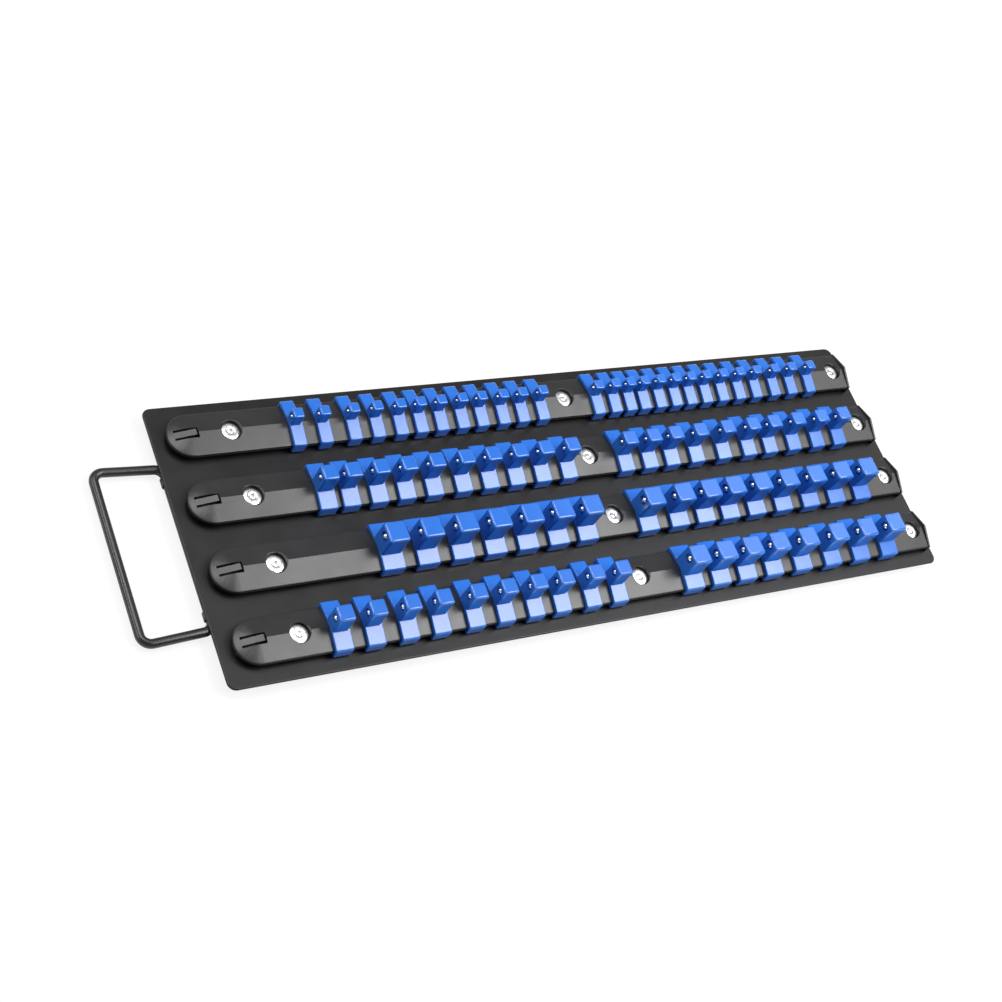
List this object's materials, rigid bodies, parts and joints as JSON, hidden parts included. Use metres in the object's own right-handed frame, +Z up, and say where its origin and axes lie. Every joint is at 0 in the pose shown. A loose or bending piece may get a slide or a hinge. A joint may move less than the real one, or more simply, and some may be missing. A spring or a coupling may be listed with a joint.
{
  "type": "socket tray",
  "caption": "Flat steel socket tray with a wire carry handle and moulded rails, on which plastic clips with square sprung-ball drive studs slide.",
  "frame": {"origin": "centre of the footprint, handle included, at the level of the feet's soles", "axes": "+X along the rails, away from the handle; +Y towards the rail with the smallest studs; +Z up"},
  "size_m": [0.5382, 0.17, 0.0337],
  "materials": {
    "charcoal_steel": "fine satin powder coat",
    "black_wire": "satin black coat",
    "rail_plastic": "satin moulded",
    "clip_blue": "glossy moulded",
    "rivet_steel": "bright, formed",
    "ball_steel": "polished",
    "spring_steel": "drawn wire",
    "foot_rubber": "matt"
  },
  "bodies": {
    "tray": {"tray_plate": "charcoal_steel", "rubber_feet": "foot_rubber", "handle_straps": "black_wire", "rail_rivets": "rivet_steel", "quarter_inch_rail": "rail_plastic", "three_eighths_rail": "rail_plastic", "half_inch_rail": "rail_plastic", "mixed_rail": "rail_plastic"},
    "handle": {"carry_handle": "black_wire"},
    "quarter_inch_tongue": {"quarter_inch_stop_tongue": "rail_plastic"},
    "three_eighths_tongue": {"three_eighths_stop_tongue": "rail_plastic"},
    "half_inch_tongue": {"half_inch_stop_tongue": "rail_plastic"},
    "mixed_tongue": {"mixed_stop_tongue": "rail_plastic"},
    "quarter_inch_first_clip": {"quarter_inch_first_clip": "clip_blue", "quarter_inch_first_spring": "spring_steel"},
    "quarter_inch_first_ball": {"quarter_inch_first_ball": "ball_steel"},
    "quarter_inch_left_clips": {"quarter_inch_left_clips": "clip_blue", "quarter_inch_left_springs": "spring_steel"},
    "quarter_inch_left_balls": {"quarter_inch_left_balls": "ball_steel"},
    "quarter_inch_right_clips": {"quarter_inch_right_clips": "clip_blue", "quarter_inch_right_springs": "spring_steel"},
    "quarter_inch_right_balls": {"quarter_inch_right_balls": "ball_steel"},
    "quarter_inch_last_clip": {"quarter_inch_last_clip": "clip_blue", "quarter_inch_last_spring": "spring_steel"},
    "quarter_inch_last_ball": {"quarter_inch_last_ball": "ball_steel"},
    "three_eighths_first_clip": {"three_eighths_first_clip": "clip_blue", "three_eighths_first_spring": "spring_steel"},
    "three_eighths_first_ball": {"three_eighths_first_ball": "ball_steel"},
    "three_eighths_left_clips": {"three_eighths_left_clips": "clip_blue", "three_eighths_left_springs": "spring_steel"},
    "three_eighths_left_balls": {"three_eighths_left_balls": "ball_steel"},
    "three_eighths_right_clips": {"three_eighths_right_clips": "clip_blue", "three_eighths_right_springs": "spring_steel"},
    "three_eighths_right_balls": {"three_eighths_right_balls": "ball_steel"},
    "three_eighths_last_clip": {"three_eighths_last_clip": "clip_blue", "three_eighths_last_spring": "spring_steel"},
    "three_eighths_last_ball": {"three_eighths_last_ball": "ball_steel"},
    "half_inch_first_clip": {"half_inch_first_clip": "clip_blue", "half_inch_first_spring": "spring_steel"},
    "half_inch_first_ball": {"half_inch_first_ball": "ball_steel"},
    "half_inch_left_clips": {"half_inch_left_clips": "clip_blue", "half_inch_left_springs": "spring_steel"},
    "half_inch_left_balls": {"half_inch_left_balls": "ball_steel"},
    "half_inch_right_clips": {"half_inch_right_clips": "clip_blue", "half_inch_right_springs": "spring_steel"},
    "half_inch_right_balls": {"half_inch_right_balls": "ball_steel"},
    "half_inch_last_clip": {"half_inch_last_clip": "clip_blue", "half_inch_last_spring": "spring_steel"},
    "half_inch_last_ball": {"half_inch_last_ball": "ball_steel"},
    "mixed_first_clip": {"mixed_first_clip": "clip_blue", "mixed_first_spring": "spring_steel"},
    "mixed_first_ball": {"mixed_first_ball": "ball_steel"},
    "mixed_left_clips": {"mixed_left_clips": "clip_blue", "mixed_left_springs": "spring_steel"},
    "mixed_left_balls": {"mixed_left_balls": "ball_steel"},
    "mixed_right_clips": {"mixed_right_clips": "clip_blue", "mixed_right_springs": "spring_steel"},
    "mixed_right_balls": {"mixed_right_balls": "ball_steel"}
  },
  "joints": [
    {"name": "handle_swing", "type": "hinge", "parent": "tray", "child": "handle", "pos_m": [-0.22735, 0, 0.00435], "axis": [0, -1, 0], "range_deg": [0, 175]},
    {"name": "quarter_inch_tongue_flex", "type": "hinge", "parent": "tray", "child": "quarter_inch_tongue", "pos_m": [-0.21985, 0.06255, 0.01333], "axis": [0, 1, 0], "range_deg": [0, 7], "stiffness_Nm_per_rad": 0.5},
    {"name": "three_eighths_tongue_flex", "type": "hinge", "parent": "tray", "child": "three_eighths_tongue", "pos_m": [-0.21985, 0.02085, 0.01333], "axis": [0, 1, 0], "range_deg": [0, 7], "stiffness_Nm_per_rad": 0.5},
    {"name": "half_inch_tongue_flex", "type": "hinge", "parent": "tray", "child": "half_inch_tongue", "pos_m": [-0.21985, -0.02085, 0.01333], "axis": [0, 1, 0], "range_deg": [0, 7], "stiffness_Nm_per_rad": 0.5},
    {"name": "mixed_tongue_flex", "type": "hinge", "parent": "tray", "child": "mixed_tongue", "pos_m": [-0.21985, -0.06255, 0.01333], "axis": [0, 1, 0], "range_deg": [0, 7], "stiffness_Nm_per_rad": 0.5},
    {"name": "quarter_inch_first_slide", "type": "slide", "parent": "tray", "child": "quarter_inch_first_clip", "axis": [1, 0, 0], "range_m": [-0.0529, 0.0077]},
    {"name": "quarter_inch_first_ball_press", "type": "slide", "parent": "quarter_inch_first_clip", "child": "quarter_inch_first_ball", "axis": [1, 0, 0], "range_m": [0, 0.0005], "stiffness_N_per_m": 1000, "deforming": ["quarter_inch_first_spring"]},
    {"name": "quarter_inch_left_slide", "type": "slide", "parent": "tray", "child": "quarter_inch_left_clips", "axis": [1, 0, 0], "range_m": [-0.0077, 0.0326]},
    {"name": "quarter_inch_left_balls_press", "type": "slide", "parent": "quarter_inch_left_clips", "child": "quarter_inch_left_balls", "axis": [1, 0, 0], "range_m": [0, 0.0005], "stiffness_N_per_m": 11000, "deforming": ["quarter_inch_left_springs"]},
    {"name": "quarter_inch_right_slide", "type": "slide", "parent": "tray", "child": "quarter_inch_right_clips", "axis": [1, 0, 0], "range_m": [-0.0326, 0.0072]},
    {"name": "quarter_inch_right_balls_press", "type": "slide", "parent": "quarter_inch_right_clips", "child": "quarter_inch_right_balls", "axis": [1, 0, 0], "range_m": [0, 0.0005], "stiffness_N_per_m": 13000, "deforming": ["quarter_inch_right_springs"]},
    {"name": "quarter_inch_last_slide", "type": "slide", "parent": "tray", "child": "quarter_inch_last_clip", "axis": [1, 0, 0], "range_m": [-0.0072, 0.0305]},
    {"name": "quarter_inch_last_ball_press", "type": "slide", "parent": "quarter_inch_last_clip", "child": "quarter_inch_last_ball", "axis": [1, 0, 0], "range_m": [0, 0.0005], "stiffness_N_per_m": 1000, "deforming": ["quarter_inch_last_spring"]},
    {"name": "three_eighths_first_slide", "type": "slide", "parent": "tray", "child": "three_eighths_first_clip", "axis": [1, 0, 0], "range_m": [-0.0549, 0.0026]},
    {"name": "three_eighths_first_ball_press", "type": "slide", "parent": "three_eighths_first_clip", "child": "three_eighths_first_ball", "axis": [1, 0, 0], "range_m": [0, 0.00065], "stiffness_N_per_m": 1000, "deforming": ["three_eighths_first_spring"]},
    {"name": "three_eighths_left_slide", "type": "slide", "parent": "tray", "child": "three_eighths_left_clips", "axis": [1, 0, 0], "range_m": [-0.0026, 0.0307]},
    {"name": "three_eighths_left_balls_press", "type": "slide", "parent": "three_eighths_left_clips", "child": "three_eighths_left_balls", "axis": [1, 0, 0], "range_m": [0, 0.00065], "stiffness_N_per_m": 9000, "deforming": ["three_eighths_left_springs"]},
    {"name": "three_eighths_right_slide", "type": "slide", "parent": "tray", "child": "three_eighths_right_clips", "axis": [1, 0, 0], "range_m": [-0.0307, 0.0072]},
    {"name": "three_eighths_right_balls_press", "type": "slide", "parent": "three_eighths_right_clips", "child": "three_eighths_right_balls", "axis": [1, 0, 0], "range_m": [0, 0.00065], "stiffness_N_per_m": 9000, "deforming": ["three_eighths_right_springs"]},
    {"name": "three_eighths_last_slide", "type": "slide", "parent": "tray", "child": "three_eighths_last_clip", "axis": [1, 0, 0], "range_m": [-0.0072, 0.0264]},
    {"name": "three_eighths_last_ball_press", "type": "slide", "parent": "three_eighths_last_clip", "child": "three_eighths_last_ball", "axis": [1, 0, 0], "range_m": [0, 0.00065], "stiffness_N_per_m": 1000, "deforming": ["three_eighths_last_spring"]},
    {"name": "half_inch_first_slide", "type": "slide", "parent": "tray", "child": "half_inch_first_clip", "axis": [1, 0, 0], "range_m": [-0.0788, 0.0072]},
    {"name": "half_inch_first_ball_press", "type": "slide", "parent": "half_inch_first_clip", "child": "half_inch_first_ball", "axis": [1, 0, 0], "range_m": [0, 0.0008], "stiffness_N_per_m": 1000, "deforming": ["half_inch_first_spring"]},
    {"name": "half_inch_left_slide", "type": "slide", "parent": "tray", "child": "half_inch_left_clips", "axis": [1, 0, 0], "range_m": [-0.0072, 0.0302]},
    {"name": "half_inch_left_balls_press", "type": "slide", "parent": "half_inch_left_clips", "child": "half_inch_left_balls", "axis": [1, 0, 0], "range_m": [0, 0.0008], "stiffness_N_per_m": 6000, "deforming": ["half_inch_left_springs"]},
    {"name": "half_inch_right_slide", "type": "slide", "parent": "tray", "child": "half_inch_right_clips", "axis": [1, 0, 0], "range_m": [-0.0302, 0.0074]},
    {"name": "half_inch_right_balls_press", "type": "slide", "parent": "half_inch_right_clips", "child": "half_inch_right_balls", "axis": [1, 0, 0], "range_m": [0, 0.0008], "stiffness_N_per_m": 8000, "deforming": ["half_inch_right_springs"]},
    {"name": "half_inch_last_slide", "type": "slide", "parent": "tray", "child": "half_inch_last_clip", "axis": [1, 0, 0], "range_m": [-0.0074, 0.0284]},
    {"name": "half_inch_last_ball_press", "type": "slide", "parent": "half_inch_last_clip", "child": "half_inch_last_ball", "axis": [1, 0, 0], "range_m": [0, 0.0008], "stiffness_N_per_m": 1000, "deforming": ["half_inch_last_spring"]},
    {"name": "mixed_first_slide", "type": "slide", "parent": "tray", "child": "mixed_first_clip", "axis": [1, 0, 0], "range_m": [-0.0355, 0.0075]},
    {"name": "mixed_first_ball_press", "type": "slide", "parent": "mixed_first_clip", "child": "mixed_first_ball", "axis": [1, 0, 0], "range_m": [0, 0.00065], "stiffness_N_per_m": 1000, "deforming": ["mixed_first_spring"]},
    {"name": "mixed_left_slide", "type": "slide", "parent": "tray", "child": "mixed_left_clips", "axis": [1, 0, 0], "range_m": [-0.0075, 0.0416]},
    {"name": "mixed_left_balls_press", "type": "slide", "parent": "mixed_left_clips", "child": "mixed_left_balls", "axis": [1, 0, 0], "range_m": [0, 0.00065], "stiffness_N_per_m": 9000, "deforming": ["mixed_left_springs"]},
    {"name": "mixed_right_slide", "type": "slide", "parent": "tray", "child": "mixed_right_clips", "axis": [1, 0, 0], "range_m": [-0.0416, 0.029]},
    {"name": "mixed_right_balls_press", "type": "slide", "parent": "mixed_right_clips", "child": "mixed_right_balls", "axis": [1, 0, 0], "range_m": [0, 0.0008], "stiffness_N_per_m": 8000, "deforming": ["mixed_right_springs"]}
  ]
}
